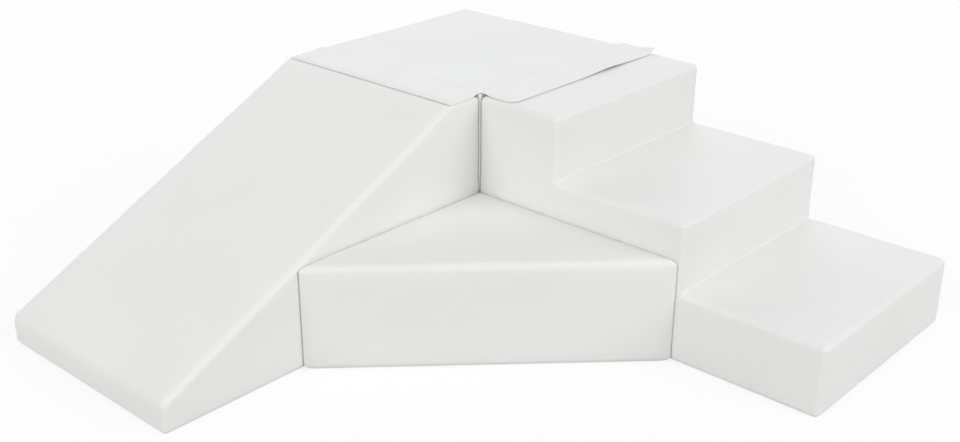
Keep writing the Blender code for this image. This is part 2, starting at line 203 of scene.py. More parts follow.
# Zips: TOOTH_RINGS has each ring's place along the tooth and its size
ZIP_PROUD = 1.0 * MM
TAPE_GAP = 0.15 * MM
TAPE_DEPTH = 0.3 * MM
TOOTH_STEP = 1.3 * MM
TOOTH_LENGTH = 2.7 * MM
TOOTH_RADIUS = 0.55 * MM
TOOTH_RISE = 0.25 * MM
TOOTH_OFFSET = 0.75 * MM
TOOTH_MARGIN = 2 * MM
TOOTH_RINGS = ((-0.5, 0.55), (-0.42, 1.0), (0.42, 1.0), (0.5, 0.55))
SLIDER_NARROW = 0.32
SLIDER_PLATE = 1.0 * MM
SLIDER_WALL = 1.6 * MM
SLIDER_ROUND = 0.35 * MM
WALL_ROUND = 0.3 * MM
WALL_SINK = 0.5 * MM
BRIDGE_INSETS = (2 * MM, 2.5 * MM)
BRIDGE_HALF = 1.1 * MM
BRIDGE_LEVELS = (-0.4 * MM, 1.6 * MM)
BRIDGE_ROUND = 0.7 * MM
PULL_LENGTH = 19 * MM
PULL_HALF = 2.75 * MM
PULL_TOP = 1.5 * MM
PULL_CORNER = 2.2 * MM
PULL_RISE = 0.35 * MM
PULL_THICKNESS = 0.9 * MM
PULL_ROUND = 0.25 * MM

# Blocks: sizes that the solids' boxes don't give, and how far the slack waves keep away
SLIDE_NOSE = 75 * MM
SLIDE_LANDING = 105 * MM
LOWER_STEP = 175 * MM
MIDDLE_STEP = 345 * MM
TOP_TREAD = 240 * MM
MIDDLE_TREAD = 365 * MM
CORNER_LEG = 600 * MM
ZIP_CALM = 24 * MM
BASE_CALM = 16 * MM
CALM = 12 * MM
P_LOW, P_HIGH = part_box("platform_cover")
S_LOW, S_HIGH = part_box("slide_cover")
T_LOW, T_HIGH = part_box("stair_cover")
C_LOW, C_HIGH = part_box("corner_cover")

# Where the four blocks meet, the covers' upright edges are rounded less and hardly pucker
CORNER_REACH = 30 * MM
AROUND = Vector((CORNER_REACH, CORNER_REACH, 0))
CORNER_POST = (P_LOW - AROUND, P_LOW + AROUND + Z)
HELD = 0.2

# Where the corner step meets the slide and the stair, the covers lean out towards each other. They
# stay back round the strips that are sewn on there, and round the corner step's zip.
LEAN = 1.65 * MM
SEAT = 4 * MM
SEAT_FADE = 14 * MM
LEAN_FADE = 45 * MM

# A block: an outline in the plane of the first two axes, drawn out along the third from 0 to
# length. crowns has one value for each edge of the outline and ends one for each end. seam_axis is
# the direction that no sewn edge but closing runs in. rounding gives the edges that differ their
# rounding. leaning has the numbers of the faces that lean out: 0 and 1 for the ends, and then the
# outline's.
Block = namedtuple(
    "Block",
    "origin axes outline length crowns ends seam_axis groove seed closing rounding leaning",
    defaults=(None, None, ()),
)
Face = namedtuple("Face", "corners normal crown leans")
Seam = namedtuple("Seam", "start end across bisector")
Flap = namedtuple("Flap", "fold reach near far inner loose across along")

BODIES = {"platform": "platform", "slide": "slide_block", "stair": "stair_block", "corner": "corner_step"}
ZIP_FACES = {"platform": Y, "slide": Y, "stair": X, "corner": X}


# Shapes

def offset_outline(points, distances):
    """A counter-clockwise outline with each edge moved inwards by its own distance."""
    lines = []
    for index, start in enumerate(points):
        along = (Vector(points[(index + 1) % len(points)]) - Vector(start)).normalized()
        inward = Vector((-along.y, along.x))
        lines.append((Vector(start) + inward * distances[index], along))
    moved = []
    for index, (point, along) in enumerate(lines):
        last_point, last_along = lines[index - 1]
        reach = (point - last_point).cross(along) / last_along.cross(along)
        moved.append(last_point + last_along * reach)
    return moved


def rectangle(low, high):
    """The outline of a rectangle between two corners."""
    return [(low[0], low[1]), (high[0], low[1]), (high[0], high[1]), (low[0], high[1])]


def rounded_rectangle(low, high, radii, steps=8):
    """A rectangle's outline with a radius for each corner, from the high one round."""
    points = []
    for quarter, radius in enumerate(radii):
        centre_x = high[0] - radius if quarter in (0, 3) else low[0] + radius
        centre_y = high[1] - radius if quarter < 2 else low[1] + radius
        for step in range(steps + 1):
            angle = math.radians(90) * (quarter + step / steps)
            points.append((centre_x + radius * math.cos(angle), centre_y + radius * math.sin(angle)))
    return points


def prism(outline, low, high, axes, origin=Vector()):
    """A closed prism: the outline, in the plane of the first two axes, from low to high."""
    across, up, along = axes
    bm = bmesh.new()
    rings = [[bm.verts.new(origin + across * p[0] + up * p[1] + along * level) for p in outline]
             for level in (low, high)]
    for ring in rings:
        bm.faces.new(ring)
    for index in range(len(outline)):
        after = (index + 1) % len(outline)
        bm.faces.new((rings[0][index], rings[0][after], rings[1][after], rings[1][index]))
    bmesh.ops.recalc_face_normals(bm, faces=bm.faces)
    return bm


def cut(bm, faces, point, normal):
    """Cuts faces by a plane and returns all the faces that they have become."""
    edges = dict.fromkeys(edge for face in faces for edge in face.edges)
    verts = dict.fromkeys(vert for face in faces for vert in face.verts)
    done = bmesh.ops.bisect_plane(
        bm, geom=[*verts, *edges, *faces], dist=SNAP, plane_co=point, plane_no=normal
    )
    return [item for item in done["geom"] if isinstance(item, bmesh.types.BMFace)]


def slice_faces(bm, faces, axis, levels):
    """Cuts faces across an axis at every level, the middle one first and then each half."""
    if not levels:
        return
    middle = len(levels) // 2
    level = levels[middle]
    below, above = [], []
    for face in cut(bm, faces, axis * level, axis):
        side = below if face.calc_center_median().dot(axis) < level else above
        side.append(face)
    slice_faces(bm, below, axis, levels[:middle])
    slice_faces(bm, above, axis, levels[middle + 1:])


def dice(bm, cell, axes=(X, Y, Z)):
    """Cuts a whole mesh into cells across each axis."""
    for axis in axes:
        reach = [vert.co.dot(axis) for vert in bm.verts]
        low, high = min(reach), max(reach)
        count = max(1, round((high - low) / cell))
        step = (high - low) / count
        slice_faces(bm, list(bm.faces), axis, [low + step * k for k in range(1, count)])
    bmesh.ops.remove_doubles(bm, verts=bm.verts, dist=SNAP)


def in_scene(name, data):
    """A new object of the scene."""
    made = bpy.data.objects.new(name, data)
    bpy.context.scene.collection.objects.link(made)
    return made


def as_mesh(name, bm):
    """Turns a bmesh into a mesh."""
    mesh = bpy.data.meshes.new(name)
    bm.to_mesh(mesh)
    bm.free()
    return mesh


def as_object(name, bm):
    """Turns a bmesh into an object of the scene."""
    return in_scene(name, as_mesh(name, bm))


def joined(parts):
    """Turns several bmeshes into one."""
    whole = bmesh.new()
    for part in parts:
        mesh = as_mesh("part", part)
        whole.from_mesh(mesh)
        bpy.data.meshes.remove(mesh)
    return whole


def bevelled(bm, width, segments):
    """Rounds the edges of a bmesh by their weights, or all its sharp edges alike."""
    weighted = bm.edges.layers.float.get("bevel_weight_edge") is not None
    thing = as_object("bevelled", bm)
    bevel = thing.modifiers.new("round", "BEVEL")
    bevel.width = width
    bevel.segments = segments
    bevel.limit_method = "WEIGHT" if weighted else "ANGLE"
    graph = bpy.context.evaluated_depsgraph_get()
    graph.update()
    mesh = bpy.data.meshes.new_from_object(thing.evaluated_get(graph))
    rounded = bmesh.new()
    rounded.from_mesh(mesh)
    bpy.data.meshes.remove(mesh)
    bpy.data.objects.remove(thing, do_unlink=True)
    return rounded


def rounded_prism(outline, low, high, axes, width, segments=3):
    """A prism with all its edges rounded alike."""
    return bevelled(prism(outline, low, high, axes), width, segments)


def coordinates(mesh):
    """A mesh's points, and its normals there, as arrays."""
    arrays = []
    for source, name in ((mesh.vertices, "co"), (mesh.vertex_normals, "vector")):
        values = np.empty(len(source) * 3, np.float32)
        source.foreach_get(name, values)
        arrays.append(values.reshape(-1, 3).astype(float))
    return arrays


def move_points(mesh, points):
    mesh.vertices.foreach_set("co", points.astype(np.float32).ravel())
    mesh.update()


def ramp(value, low, high):
    """0 below low, 1 above high, and a soft rise between."""
    share = np.clip((value - low) / (high - low), 0, 1)
    return share * share * (3 - 2 * share)


def hump(value, width):
    """1 at 0, and a soft fall on both sides."""
    return np.exp(-((value / width) ** 2))


def waves(points, lengths, count, seed):
    """A smooth random field, about -1 to 1: plane waves of random lengths and directions."""
    random = np.random.default_rng(seed)
    field = np.zeros(len(points))
    for _ in range(count):
        direction = random.normal(size=3)
        direction /= np.linalg.norm(direction)
        length = random.uniform(*lengths)
        field += np.sin(points @ direction * (TURN / length) + random.uniform(0, TURN))
    return field / math.sqrt(count)


def tube_form(rings, one, other, sides, turn=0.0, flip=False):
    """A small closed form, as its points and faces. A ring has its centre and its size."""
    points = []
    for centre, size in rings:
        for corner in range(sides):
            angle = TURN * corner / sides + turn
            points.append(centre + (one * math.cos(angle) + other * math.sin(angle)) * size)
    faces = []
    for first in range(0, len(points) - sides, sides):
        for corner in range(sides):
            after = (corner + 1) % sides
            face = (first + corner, first + after, first + sides + after, first + sides + corner)
            faces.append((face[0], *face[:0:-1]) if flip else face)
    ends = [tuple(range(sides))[::-1], tuple(range(len(points) - sides, len(points)))]
    return np.array(points), faces + [end[::-1] if flip else end for end in ends]


def repeated(name, form, places, surface, smooth=True):
    """An object with one form at each place; a place is its point and its three axes."""
    form_points, form_faces = form
    points, polygons = [], []
    for point, axes in places:
        base = len(points) * len(form_points)
        points.append(form_points @ np.array(axes) + np.array(point))
        polygons += [tuple(base + index for index in face) for face in form_faces]
    mesh = bpy.data.meshes.new(name)
    mesh.from_pydata(np.concatenate(points).tolist(), [], polygons)
    return paint(in_scene(name, mesh), surface, smooth)


def paint(thing, surface, smooth=True):
    """Gives an object its material."""
    thing.data.materials.append(surface.made)
    if smooth:
        thing.data.shade_smooth()
    return thing


def finish(thing, body, slot, *nodes):
    """Seats a finished piece on its body, and hides the solids that it stands for. Its slot is not used."""
    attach(thing, body)
    if nodes:
        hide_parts(*nodes)


# Materials

def fill(tree, socket, value):
    """Gives a socket a value, or a link from another socket."""
    if isinstance(value, bpy.types.NodeSocket):
        tree.links.new(value, socket)
    else:
        socket.default_value = value


def add_node(tree, kind, inputs, **settings):
    """Adds a shader node with its settings and its inputs, and returns its outputs."""
    made = tree.nodes.new(f"ShaderNode{kind}")
    for name, value in settings.items():
        setattr(made, name, value)
    for name, value in inputs.items():
        fill(tree, made.inputs[name], value)
    return made.outputs


class Surface:
    """A material, with short ways to vary it."""

    def __init__(self, name, colour, roughness, specular=0.5, sheen=0.0):
        self.made = bpy.data.materials.new(name)
        self.made.use_nodes = True
        self.made.diffuse_color = (*colour, 1)
        self.tree = self.made.node_tree
        self.shader = self.tree.nodes["Principled BSDF"]
        self.give("Base Color", (*colour, 1))
        self.give("Roughness", roughness)
        self.give("Specular IOR Level", specular)
        self.give("Sheen Weight", sheen)
        self.place = self.add("TexCoord", {})["Object"]

    def add(self, kind, inputs, **settings):
        return add_node(self.tree, kind, inputs, **settings)

    def give(self, name, value):
        fill(self.tree, self.shader.inputs[name], value)

    def noise(self, scale, detail=2.0, roughness=0.5):
        inputs = {"Scale": scale, "Detail": detail, "Roughness": roughness, "Vector": self.place}
        return self.add("TexNoise", inputs)["Fac"]

    def cells(self, scale, feature="F1"):
        return self.add("TexVoronoi", {"Scale": scale, "Vector": self.place}, feature=feature)["Distance"]

    def weave(self, scale, one, other):
        threads = [self.add("TexWave", {"Scale": scale, "Vector": self.place}, bands_direction=way)["Fac"]
                   for way in (one, other)]
        return self.combine(*threads, "MULTIPLY")

    def spread(self, value, low, high, start=0.0, end=1.0):
        limits = {"From Min": start, "From Max": end, "To Min": low, "To Max": high}
        return self.add("MapRange", {"Value": value, **limits})["Result"]

    def combine(self, one, other, operation="ADD"):
        return self.add("Math", {0: one, 1: other}, operation=operation)[0]

    def tone(self, share, one, other):
        mixed = self.add("Mix", {"Factor": share, "A": (*one, 1), "B": (*other, 1)}, data_type="RGBA")
        self.give("Base Color", mixed["Result"])

    def roughness(self, value, low, high):
        self.give("Roughness", self.spread(value, low, high))

    def bump(self, height, strength, distance):
        inputs = {"Strength": strength, "Distance": distance, "Height": height}
        self.give("Normal", self.add("Bump", inputs)["Normal"])


# Soft off-white coated cloth: a fine pebbled grain, satin, barely uneven in tone
LEATHER = Surface("leatherette", (0.84, 0.845, 0.835), 0.44)
grain = LEATHER.cells(1 / (1.3 * MM), "SMOOTH_F1")
fine = LEATHER.spread(LEATHER.noise(1 / (0.8 * MM), 3), 0, 0.5)
creases = LEATHER.spread(LEATHER.noise(1 / (6 * MM), 4), 0, 0.6)
LEATHER.bump(LEATHER.combine(LEATHER.combine(grain, fine), creases), 0.35, 0.12 * MM)
LEATHER.roughness(LEATHER.noise(14, 4), 0.38, 0.52)
patches_and_weave_shade = LEATHER.spread(LEATHER.noise(3.5, 5), 0, 1, 0.35, 0.65)
LEATHER.tone(patches_and_weave_shade, (0.83, 0.835, 0.82), (0.85, 0.855, 0.85))

# Off-white polyester thread with a slight sheen
THREAD = Surface("thread", (0.80, 0.80, 0.78), 0.55, sheen=0.3)
THREAD.bump(THREAD.noise(1 / (0.3 * MM)), 0.3, 0.1 * MM)
THREAD.tone(THREAD.noise(180), (0.76, 0.76, 0.74), (0.83, 0.83, 0.81))

# Firm cream polyurethane foam: open cells, slightly yellowed
FOAM = Surface("foam", (0.84, 0.80, 0.62), 0.95, 0.2)
pores = FOAM.cells(1 / (2.2 * MM))
FOAM.bump(pores, 0.8, 0.8 * MM)
FOAM.tone(FOAM.spread(pores, 1, 0, 0, 0.6), (0.66, 0.60, 0.42), (0.86, 0.82, 0.65))

# Grey plain-woven anti-slip base cloth, with painted shade between its threads
CLOTH = Surface("base_cloth", (0.60, 0.60, 0.59), 0.9, 0.25)
weave = CLOTH.weave(180, "X", "Y")
CLOTH.bump(weave, 0.6, 0.3 * MM)
# Painted shade: darker where the weave lies low, times random mottling
patches_and_weave_shade = CLOTH.combine(weave, CLOTH.noise(40, 3), "MULTIPLY")
CLOTH.tone(patches_and_weave_shade, (0.50, 0.50, 0.49), (0.66, 0.66, 0.65))

# Soft white rubber dots
RUBBER = Surface("grip_rubber", (0.72, 0.72, 0.71), 0.6)
RUBBER.bump(RUBBER.noise(900), 0.3, 0.1 * MM)
RUBBER.roughness(RUBBER.noise(60), 0.5, 0.7)

# Stiff hook tape: its woven ground
HOOK_TAPE = Surface("hook_tape", (0.80, 0.80, 0.79), 0.8, 0.35)
HOOK_TAPE.bump(HOOK_TAPE.noise(1 / (1.0 * MM), 3), 0.5, 0.3 * MM)
HOOK_TAPE.tone(HOOK_TAPE.noise(300, 3), (0.74, 0.74, 0.73), (0.84, 0.84, 0.83))

# Fuzzy loop tape, with painted shade where its nap lies low
LOOP_TAPE = Surface("loop_tape", (0.83, 0.83, 0.82), 0.95, 0.2, sheen=0.5)
fuzz = LOOP_TAPE.noise(1 / (0.9 * MM), 5, 0.7)
LOOP_TAPE.bump(fuzz, 0.9, 0.6 * MM)
# Painted shade: the nap's colour is darker where its bump lies low
LOOP_TAPE.tone(fuzz, (0.70, 0.70, 0.69), (0.88, 0.88, 0.87))

# Woven zip tape, with painted shade between its threads
ZIP_TAPE = Surface("zip_tape", (0.78, 0.78, 0.77), 0.7, 0.3)
weave = ZIP_TAPE.weave(500, "X", "Z")
ZIP_TAPE.bump(weave, 0.5, 0.2 * MM)
# Painted shade: darker where the weave lies low
ZIP_TAPE.tone(weave, (0.70, 0.70, 0.69), (0.82, 0.82, 0.81))

# Smooth nylon, for the zip's teeth and the hooks
NYLON = Surface("zip_nylon", (0.80, 0.80, 0.79), 0.32)
NYLON.roughness(NYLON.noise(400), 0.26, 0.4)

# White lacquered die-cast metal
METAL = Surface("zip_slider", (0.74, 0.74, 0.73), 0.3)
METAL.bump(METAL.noise(350, 3), 0.15, 0.1 * MM)
METAL.roughness(METAL.noise(120, 3), 0.24, 0.4)


# Stitches

STITCH_FORM = tube_form(
    [(X * place * STITCH + Z * level * STITCH_RADIUS, size) for place, level, size in STITCH_RINGS],
    Y * STITCH_RADIUS, Z * STITCH_RADIUS, 5, TURN / 4, flip=True,
)


def tree_of(skin):
    return BVHTree.FromObject(skin, bpy.context.evaluated_depsgraph_get())


def stitching(name, skin, rows):
    """Rows of stitches laid on a skin. A row has its two ends, which way is out, and its offset."""
    tree = tree_of(skin)
    places = []
    for start, end, outward, offset in rows:
        line = (end - start).normalized()
        length = (end - start).length
        count = int((length - 2 * STITCH_STEP) / STITCH_STEP)
        first = (length - (count - 1) * STITCH_STEP) / 2
        for number in range(count):
            place = start + line * (first + number * STITCH_STEP) + offset
            hit, normal, _, _ = tree.ray_cast(place + outward * RAY_START, -outward, RAY_START * 2)
            if hit is None or normal.dot(outward) < FACING:
                continue
            along = (line - normal * line.dot(normal)).normalized()
            places.append((hit, [along, normal.cross(along), normal]))
    return repeated(name, STITCH_FORM, places, THREAD)


# Covers

def block_outline(block, skin=0.0):
    """The block's outline and its two levels, with each face inside its full size by its crown."""
    outline = offset_outline(block.outline, [(crown or 0) + skin for crown in block.crowns])
    near, far = ((crown or 0) + skin for crown in block.ends)
    return outline, near, block.length - far


def block_faces(block, skin=0.0):
    """The flat faces of the block's prism."""
    across, up, along = block.axes
    outline, low, high = block_outline(block, skin)
    rows = [[block.origin + across * p.x + up * p.y + along * level for p in outline]
            for level in (low, high)]
    sides = [(rows[0], -along, block.ends[0]), (rows[1], along, block.ends[1])]
    for index, crown in enumerate(block.crowns):
        after = (index + 1) % len(outline)
        edge = (outline[after] - outline[index]).normalized()
        corners = [rows[0][index], rows[0][after], rows[1][after], rows[1][index]]
        sides.append((corners, across * edge.y - up * edge.x, crown))
    return [Face(*side, number in block.leaning) for number, side in enumerate(sides)]


def rounded_block(block, skin=0.0, segments=EDGE_SEGMENTS):
    """The block's prism with rounded edges, and the seams that run along some of them."""
    bm = prism(*block_outline(block, skin), block.axes, block.origin)
    weight = bm.edges.layers.float.new("bevel_weight_edge")
    seams = []
    for edge in bm.edges:
        start, end = (vert.co.copy() for vert in edge.verts)
        middle = (start + end) / 2
        width = EDGE_ROUND if edge.is_convex else HOLLOW_ROUND
        if edge.is_convex and (middle - P_LOW).xy.length < CORNER_REACH:
            width = INNER_ROUND
        if block.rounding:
            width = block.rounding(middle) or width
        edge[weight] = width / EDGE_ROUND
        line = (end - start).normalized()
        closing = block.closing and (middle - block.closing).xy.length < EDGE_ROUND
        if abs(line.dot(block.seam_axis)) < TINY or closing:
            one, other = (face.normal.copy() for face in edge.link_faces)
            if abs(one.dot(block.seam_axis)) > abs(other.dot(block.seam_axis)):
                one, other = other, one
            seams.append(Seam(start, end, (one - other).normalized(), (one + other).normalized()))
    return bevelled(bm, EDGE_ROUND, segments), seams


def near_seam(point, seam):
    """Whether a point lies in the rounding that a seam runs along."""
    line = (seam.end - seam.start).normalized()
    along = (point - seam.start).dot(line)
    if not -EDGE_ROUND < along < (seam.end - seam.start).length + EDGE_ROUND:
        return False
    return (point - seam.start - line * along).length < SEAM_NEAR


def cut_seams(bm, seams):
    """Adds the fine strips that a seam's groove needs."""
    for seam in seams:
        faces = [face for face in bm.faces if near_seam(face.calc_center_median(), seam)]
        for offset in (*(-width for width in GROOVE_CUTS), *GROOVE_CUTS):
            faces = cut(bm, faces, seam.start + seam.across * offset, seam.across)


def flat_face(bm, outward):
    """The widest face that looks outward."""
    return max(bm.faces, key=lambda face: face.normal.dot(outward) * face.calc_area())


def open_base(bm):
    """Leaves the turned-under rim of a cover's base, and opens what is inside it."""
    base = flat_face(bm, -Z)
    bmesh.ops.inset_individual(bm, faces=[base], thickness=RIM - EDGE_ROUND, use_even_offset=True)
    bmesh.ops.delete(bm, geom=[base], context="FACES")


def cut_slot(bm, low, high, outward):
    """Cuts a rectangular slot through the flat face that looks outward."""
    faces = [flat_face(bm, outward)]
    for axis in (outward.cross(Z), Z):
        for corner in (low, high):
            faces = cut(bm, faces, corner, axis)
    middle = (low + high) / 2
    slot = min(faces, key=lambda face: (face.calc_center_median() - middle).length)
    bmesh.ops.delete(bm, geom=[slot], context="FACES")


def inside_outline(points, face):
    """How far each point lies inside a face's outline, and how deep under its plane."""
    normal = np.array(face.normal)
    corners = np.array([list(corner) for corner in face.corners])
    depth = (corners[0] - points) @ normal
    axis = int(np.argmax(np.abs(normal)))
    flat = [index for index in range(3) if index != axis]
    shadow = points + depth[:, None] * normal
    u, v = shadow[:, flat].T
    nearest = np.full(len(points), np.inf)
    within = np.zeros(len(points), bool)
    for start, end in zip(corners, np.roll(corners, -1, axis=0)):
        line = end - start
        share = np.clip((shadow - start) @ line / (line @ line), 0, 1)
        nearest = np.minimum(nearest, np.linalg.norm(shadow - start - share[:, None] * line, axis=1))
        (u0, v0), (u1, v1) = start[flat], end[flat]
        if abs(v1 - v0) < TINY:
            continue
        at = u0 + (v - v0) * (u1 - u0) / (v1 - v0)
        within ^= ((v > v0) != (v > v1)) & (u < at)
    return np.where(within, nearest, -nearest), depth


def swell_faces(points, faces, firm=1.0, free=0.0):
    """How points move as each face crowns between its edges. Flat faces sink along theirs."""
    move = np.zeros_like(points)
    for face in faces:
        if face.crown is BASE:
            continue
        inside, depth = inside_outline(points, face)
        on_face = 1 - ramp(np.abs(depth), 0, EDGE_ROUND)
        swell = 1 - (1 - np.clip(inside / CROWN_REACH, 0, 1)) ** 2
        sink = 0 if face.crown else SINK * firm * ramp(inside, -EDGE_ROUND, 0)
        rise = on_face * (face.crown * swell - sink * (1 - swell) + face.leans * LEAN * free)
        move += rise[:, None] * np.array(face.normal)
    return move


def seam_moves(points, seams, depth, seed):
    """How points move where seams draw the leatherette in, pucker it and groove it."""
    random = np.random.default_rng(seed)
    move = np.zeros_like(points)
    for seam in seams:
        start, end = np.array(seam.start), np.array(seam.end)
        length = np.linalg.norm(end - start)
        line = (end - start) / length
        along = (points - start) @ line
        aside = np.linalg.norm(points - start - along[:, None] * line, axis=1)
        across = (points - start) @ np.array(seam.across)
        on_line = ramp(along, -EDGE_ROUND, 0) * (1 - ramp(along - length, 0, EDGE_ROUND))
        ripple = np.zeros(len(points))
        for wave in PUCKER_LENGTHS:
            phase = random.uniform(0, TURN)
            slow = np.sin(along * TURN / (wave * random.uniform(*SLOWER)) + phase)
            ripple += np.sin(along * TURN / wave + phase * PUCKER_PHASES + slow)
        rise_and_fall = ramp(aside, *PUCKER_START) * np.exp(-aside / PUCKER_REACH)
        pucker = PUCKER * (ripple - PUCKER_SINK) * rise_and_fall
        near = depth * (1 - ramp(aside, SEAM_NEAR, SEAM_NEAR + SEAM_FADE))
        groove = GROOVE * hump(across, GROOVE_WIDTH)
        ridge = RIDGE * hump(np.abs(across) - RIDGE_PLACE, RIDGE_WIDTH)
        amount = pucker - DRAWN_IN * hump(aside, DRAWN_REACH) - (groove - ridge) * near
        move += (amount * on_line)[:, None] * np.array(seam.bisector)
    return move


def grown(names, reach):
    """The boxes of some solids, larger by reach on every side."""
    margin = Vector((reach,) * 3)
    return [(low - margin, high + margin) for low, high in map(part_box, names)]


def room_from(points, boxes, reach):
    """0 in any of the boxes, and 1 further than reach from all of them."""
    room = np.ones(len(points))
    for low, high in boxes:
        outside = np.maximum(np.array(low) - points, points - np.array(high)).max(axis=1)
        room *= ramp(outside, 0, reach)
    return room


def shaped(points, normals, block, faces, seams, calm, free):
    """Where a cover's points lie once it is filled and sewn. calm is 0 where it can't be slack."""
    loose = HELD + (1 - HELD) * room_from(points, [CORNER_POST], ZIP_CALM)
    swing = np.clip(waves(points, WAVE_LENGTHS, WAVE_COUNT, block.seed) * WAVE_GAIN, -1, 1)
    lifted = ramp(points[:, 2], FOOT, BASE_CALM)
    move = swell_faces(points, faces, calm, free)
    move -= normals * (WAVE * (1 + swing) / 2 * calm)[:, None]
    move += seam_moves(points, seams, block.groove, block.seed + 1) * loose[:, None]
    move[:, 2] *= lifted
    move[:, :2] *= (FOOT_SHARE + (1 - FOOT_SHARE) * lifted)[:, None]
    return points + move


def zip_slot(owner, outward):
    """The slot in a cover for its zip: the chain's own box at the cover's face."""
    low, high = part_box(f"{owner}_zip_chain")
    face = high.dot(outward) - ZIP_PROUD
    return [corner + outward * (face - corner.dot(outward)) for corner in (low, high)]


def make_cover(owner, block, calm_at, seats=(), beside=()):
    """A sewn cover and its stitching.

    It isn't slack at calm_at. Its leaning faces lean out beside a neighbour, but not at the seats.
    """
    outward = ZIP_FACES[owner]
    bm, seams = rounded_block(block)
    cut_seams(bm, seams)
    open_base(bm)
    low, high = zip_slot(owner, outward)
    cut_slot(bm, low, high, outward)
    dice(bm, CELL)
    skin = as_object(f"{owner}_sewn_cover", bm)
    points, normals = coordinates(skin.data)
    calm = room_from(points, [*grown(calm_at, CALM), CORNER_POST], ZIP_CALM)
    free = room_from(points, grown(seats, SEAT), SEAT_FADE)
    if beside:
        free *= 1 - room_from(points, grown(beside, SEAT), LEAN_FADE)
    move_points(skin.data, shaped(points, normals, block, block_faces(block), seams, calm, free))
    paint(skin, LEATHER)
    rim = skin.modifiers.new("cloth edge", "SOLIDIFY")
    rim.thickness = COVER
    rim.offset = -1
    rim.use_rim_only = True
    finish(skin, BODIES[owner], "leatherette", f"{owner}_cover")
    rows = [(seam.start, seam.end, seam.bisector, seam.across * STITCH_SETBACK) for seam in seams]
    for level, drop in ((low.z, -STITCH_SETBACK), (high.z, STITCH_SETBACK)):
        ends = [Vector((corner.x, corner.y, level)) for corner in (low, high)]
        rows.append((*ends, outward, Z * drop))
    finish(stitching(f"{owner}_stitching", skin, rows), BODIES[owner], "leatherette")
    return skin


# The four blocks

WIDTH, HEIGHT = P_HIGH.x - P_LOW.x, P_HIGH.z - P_LOW.z
INNER_TIP = Vector((C_HIGH.x, C_HIGH.y, 0))


def beside_others(middle):
    """How the platform's edges beside the other blocks are rounded."""
    if (middle - P_LOW).xy.length < CORNER_REACH:
        return FRONT_ROUND
    beside = middle.x < P_LOW.x + EDGE_ROUND or middle.y < P_LOW.y + EDGE_ROUND
    return TIGHT_ROUND if beside and middle.z > HEIGHT - EDGE_ROUND else None


def beside_neighbour(middle):
    """How the corner step's edges beside the slide and the stair are rounded."""
    inner = max(middle.x - INNER_TIP.x, middle.y - INNER_TIP.y) > -EDGE_ROUND
    return MEETING_ROUND if inner and middle.z > EDGE_ROUND else None


PLATFORM = Block(
    origin=P_LOW, axes=(X, Z, Y),
    outline=rectangle((0, 0), (WIDTH, HEIGHT)),
    length=WIDTH,
    crowns=(BASE, CROWN, 0, CLOSE), ends=(CLOSE, CROWN),
    seam_axis=Z, groove=0.6, seed=11,
    closing=Vector((P_HIGH.x, P_HIGH.y, 0)), rounding=beside_others,
)

foot = S_LOW.x - S_HIGH.x
SLIDE = Block(
    origin=Vector((S_HIGH.x, S_LOW.y, 0)), axes=(X, Z, Y),
    outline=[(foot, 0), (0, 0), (0, S_HIGH.z), (-SLIDE_LANDING, S_HIGH.z), (foot, SLIDE_NOSE)],
    length=S_HIGH.y - S_LOW.y,
    crowns=(BASE, CLOSE, 0, CROWN, 0), ends=(SIDE_CROWN, CROWN),
    seam_axis=Y, groove=0.5, seed=21,
    leaning=(0,),
)

foot, top, middle = T_LOW.y - T_HIGH.y, T_HIGH.z, -TOP_TREAD - MIDDLE_TREAD
steps = [(-TOP_TREAD, top), (-TOP_TREAD, MIDDLE_STEP), (middle, MIDDLE_STEP), (middle, LOWER_STEP)]
STAIR = Block(
    origin=Vector((T_LOW.x, T_HIGH.y, 0)), axes=(Y, Z, X),
    outline=[(foot, 0), (0, 0), (0, top), *steps, (foot, LOWER_STEP)],
    length=T_HIGH.x - T_LOW.x,
    crowns=(BASE, CLOSE, 0, 0, 0, 0, 0, CROWN), ends=(SIDE_CROWN, CROWN),
    seam_axis=X, groove=0.5, seed=31,
    leaning=(0,),
)

# The long face's box falls short of the triangle's sharp tips, so the legs are the CAD's own.
CORNER = Block(
    origin=INNER_TIP, axes=(X, Y, Z),
    outline=[(0, 0), (-CORNER_LEG, 0), (0, -CORNER_LEG)],
    length=C_HIGH.z,
    crowns=(SNUG, CROWN, SNUG), ends=(BASE, CROWN),
    seam_axis=Z, groove=1.0, seed=41,
    closing=INNER_TIP, rounding=beside_neighbour,
    leaning=(2, 4),
)

make_cover("platform", PLATFORM,
           ["platform_zip_chain", "slide_flap_seam_binding", "stair_flap_seam_binding"])
SLIDE_SKIN, STAIR_SKIN = (
    make_cover(owner, block, [f"{owner}_zip_chain", f"{owner}_flap", "corner_cover"],
               [f"{owner}_side_loop_strip"], ["corner_cover"])
    for owner, block in (("slide", SLIDE), ("stair", STAIR))
)
make_cover("corner", CORNER, ["corner_zip_chain", "slide_cover", "stair_cover"],
           ["corner_hook_strip_slide_side", "corner_hook_strip_stair_side", "corner_zip_chain"])


# Flaps

def flap_place(points, flap):
    """How far points lie out from a flap's fold, and how far along it."""
    return flap.fold - points @ np.array(flap.across), points @ np.array(flap.along)


def flap_rise(points, flap):
    """How a loose flap, and what is sewn under it, buckles up, and turns up at its far corner."""
    out, along = flap_place(points, flap)
    buckle = BUCKLE * hump((along - flap.near) / (flap.far - flap.near) - BUCKLE_PLACE, BUCKLE_WIDTH)
    ear = EAR * ramp(along, flap.far - EAR_LENGTH, flap.far) * np.clip(out / flap.reach, 0, 1)
    return flap.loose * (buckle * ramp(out / flap.reach, BUCKLE_START, 1) + ear)


def heights_under(points, skin, top):
    """How high a skin lies straight under each point."""
    tree = tree_of(skin)
    heights = np.full(len(points), -1.0)
    for index, (x, y, _) in enumerate(points):
        hit = tree.ray_cast(Vector((x, y, top)), -Z)[0]
        if hit:
            heights[index] = hit.z
    return heights


